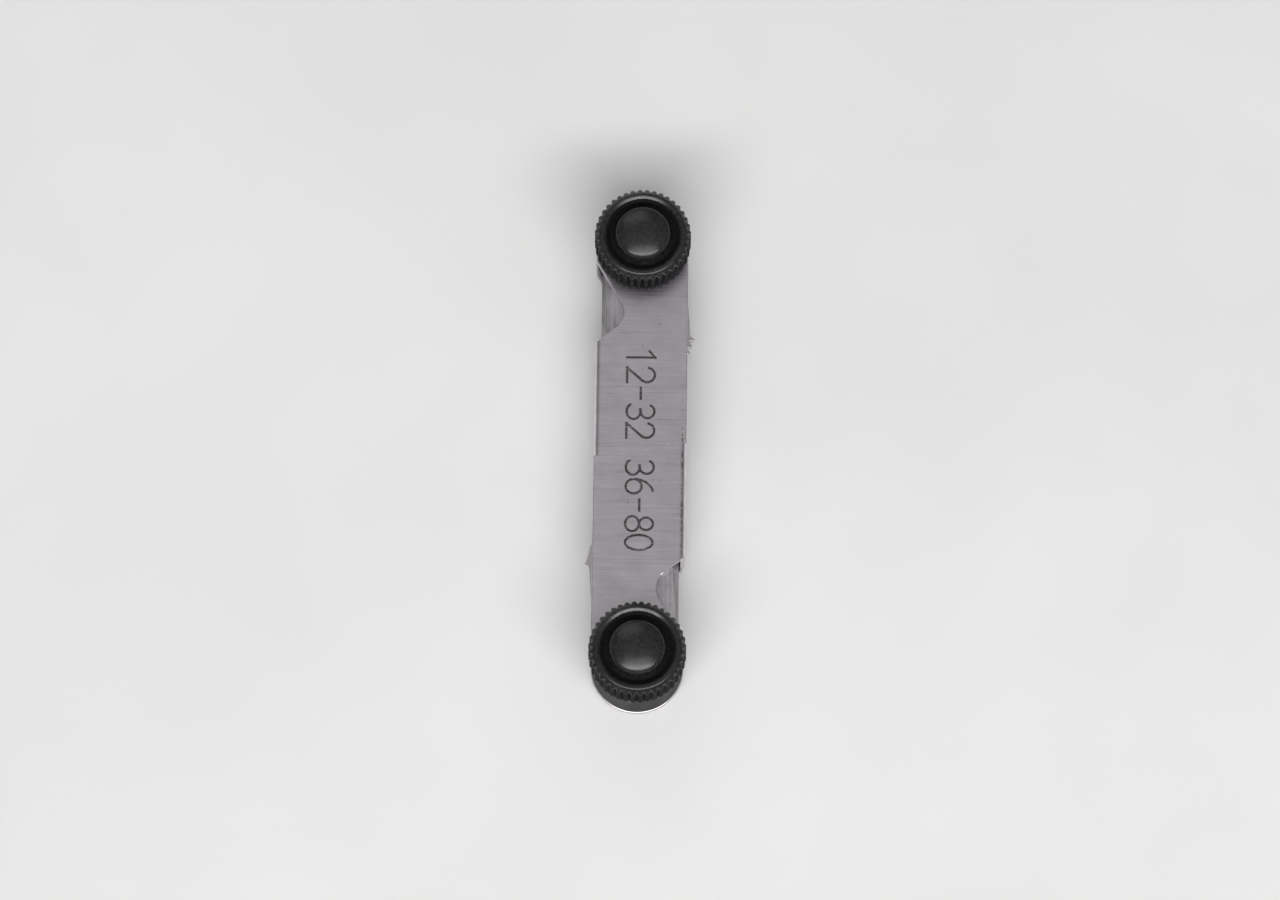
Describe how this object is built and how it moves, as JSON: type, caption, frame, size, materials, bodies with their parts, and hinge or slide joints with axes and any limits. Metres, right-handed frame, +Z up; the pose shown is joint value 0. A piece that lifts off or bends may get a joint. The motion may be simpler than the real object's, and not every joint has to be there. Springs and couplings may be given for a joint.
{
  "type": "thread pitch gauge",
  "caption": "Folding thread pitch gauge: a flat folded steel case with a fan of toothed blades at each end, each fan pivoting on a stud and clamped by a knurled knob.",
  "frame": {"origin": "middle of the gauge, on the plane under its two stud heads", "axes": "+Y along the case towards the coarse end, +Z up through the knobs, +X to the side where the coarse blades open"},
  "size_m": [0.0114, 0.0564, 0.0117],
  "materials": {
    "case_steel": "satin, brushed across its length",
    "blade_steel": "ground flat, plain",
    "stud_steel": "turned, zinc plated",
    "black_plastic": "moulded, satin",
    "insert_brass": "turned"
  },
  "bodies": {
    "case": {"case": "case_steel", "coarse_pivot_stud": "stud_steel", "fine_pivot_stud": "stud_steel"},
    "coarse_washer": {"coarse_washer": "stud_steel"},
    "coarse_knob": {"coarse_knob": "black_plastic", "coarse_knob_insert": "insert_brass"},
    "coarse_blade_32": {"coarse_blade_32": "blade_steel"},
    "coarse_blade_28": {"coarse_blade_28": "blade_steel"},
    "coarse_blade_24": {"coarse_blade_24": "blade_steel"},
    "coarse_blade_20": {"coarse_blade_20": "blade_steel"},
    "coarse_blade_18": {"coarse_blade_18": "blade_steel"},
    "coarse_blade_16": {"coarse_blade_16": "blade_steel"},
    "coarse_blade_14": {"coarse_blade_14": "blade_steel"},
    "coarse_blade_12": {"coarse_blade_12": "blade_steel"},
    "fine_washer": {"fine_washer": "stud_steel"},
    "fine_knob": {"fine_knob": "black_plastic", "fine_knob_insert": "insert_brass"},
    "fine_blade_80": {"fine_blade_80": "blade_steel"},
    "fine_blade_72": {"fine_blade_72": "blade_steel"},
    "fine_blade_64": {"fine_blade_64": "blade_steel"},
    "fine_blade_56": {"fine_blade_56": "blade_steel"},
    "fine_blade_48": {"fine_blade_48": "blade_steel"},
    "fine_blade_44": {"fine_blade_44": "blade_steel"},
    "fine_blade_40": {"fine_blade_40": "blade_steel"},
    "fine_blade_36": {"fine_blade_36": "blade_steel"}
  },
  "joints": [
    {"name": "coarse_knob_lift", "type": "slide", "parent": "case", "child": "coarse_washer", "axis": [0, 0, 1], "range_m": [0, 0.0007]},
    {"name": "coarse_knob_turn", "type": "hinge", "parent": "coarse_washer", "child": "coarse_knob", "pos_m": [0, 0.023, 0.00655], "axis": [0, 0, 1], "range_deg": [0, 360]},
    {"name": "coarse_blade_32_swing", "type": "hinge", "parent": "case", "child": "coarse_blade_32", "pos_m": [0, 0.023, 0.0035], "axis": [0, 0, 1], "range_deg": [-4, 176]},
    {"name": "coarse_blade_28_swing", "type": "hinge", "parent": "case", "child": "coarse_blade_28", "pos_m": [0, 0.023, 0.0035], "axis": [0, 0, 1], "range_deg": [-2.4, 177.6]},
    {"name": "coarse_blade_24_swing", "type": "hinge", "parent": "case", "child": "coarse_blade_24", "pos_m": [0, 0.023, 0.0035], "axis": [0, 0, 1], "range_deg": [-0.5, 179.5]},
    {"name": "coarse_blade_20_swing", "type": "hinge", "parent": "case", "child": "coarse_blade_20", "pos_m": [0, 0.023, 0.0035], "axis": [0, 0, 1], "range_deg": [-1.1, 178.9]},
    {"name": "coarse_blade_18_swing", "type": "hinge", "parent": "case", "child": "coarse_blade_18", "pos_m": [0, 0.023, 0.0035], "axis": [0, 0, 1], "range_deg": [-0.2, 179.8]},
    {"name": "coarse_blade_16_swing", "type": "hinge", "parent": "case", "child": "coarse_blade_16", "pos_m": [0, 0.023, 0.0035], "axis": [0, 0, 1], "range_deg": [0, 180]},
    {"name": "coarse_blade_14_swing", "type": "hinge", "parent": "case", "child": "coarse_blade_14", "pos_m": [0, 0.023, 0.0035], "axis": [0, 0, 1], "range_deg": [-0.7, 179.3]},
    {"name": "coarse_blade_12_swing", "type": "hinge", "parent": "case", "child": "coarse_blade_12", "pos_m": [0, 0.023, 0.0035], "axis": [0, 0, 1], "range_deg": [-0.3, 179.7]},
    {"name": "fine_knob_lift", "type": "slide", "parent": "case", "child": "fine_washer", "axis": [0, 0, 1], "range_m": [0, 0.0007]},
    {"name": "fine_knob_turn", "type": "hinge", "parent": "fine_washer", "child": "fine_knob", "pos_m": [0, -0.023, 0.00655], "axis": [0, 0, 1], "range_deg": [0, 360]},
    {"name": "fine_blade_80_swing", "type": "hinge", "parent": "case", "child": "fine_blade_80", "pos_m": [0, -0.023, 0.0035], "axis": [0, 0, 1], "range_deg": [-4, 176]},
    {"name": "fine_blade_72_swing", "type": "hinge", "parent": "case", "child": "fine_blade_72", "pos_m": [0, -0.023, 0.0035], "axis": [0, 0, 1], "range_deg": [-2.4, 177.6]},
    {"name": "fine_blade_64_swing", "type": "hinge", "parent": "case", "child": "fine_blade_64", "pos_m": [0, -0.023, 0.0035], "axis": [0, 0, 1], "range_deg": [-0.5, 179.5]},
    {"name": "fine_blade_56_swing", "type": "hinge", "parent": "case", "child": "fine_blade_56", "pos_m": [0, -0.023, 0.0035], "axis": [0, 0, 1], "range_deg": [-1.1, 178.9]},
    {"name": "fine_blade_48_swing", "type": "hinge", "parent": "case", "child": "fine_blade_48", "pos_m": [0, -0.023, 0.0035], "axis": [0, 0, 1], "range_deg": [-0.2, 179.8]},
    {"name": "fine_blade_44_swing", "type": "hinge", "parent": "case", "child": "fine_blade_44", "pos_m": [0, -0.023, 0.0035], "axis": [0, 0, 1], "range_deg": [0, 180]},
    {"name": "fine_blade_40_swing", "type": "hinge", "parent": "case", "child": "fine_blade_40", "pos_m": [0, -0.023, 0.0035], "axis": [0, 0, 1], "range_deg": [-0.7, 179.3]},
    {"name": "fine_blade_36_swing", "type": "hinge", "parent": "case", "child": "fine_blade_36", "pos_m": [0, -0.023, 0.0035], "axis": [0, 0, 1], "range_deg": [-0.3, 179.7]}
  ],
  "couplings": [
    {"joint": "coarse_knob_turn", "follows": "coarse_knob_lift", "rad_per_m": 8976},
    {"joint": "fine_knob_turn", "follows": "fine_knob_lift", "rad_per_m": 8976}
  ]
}
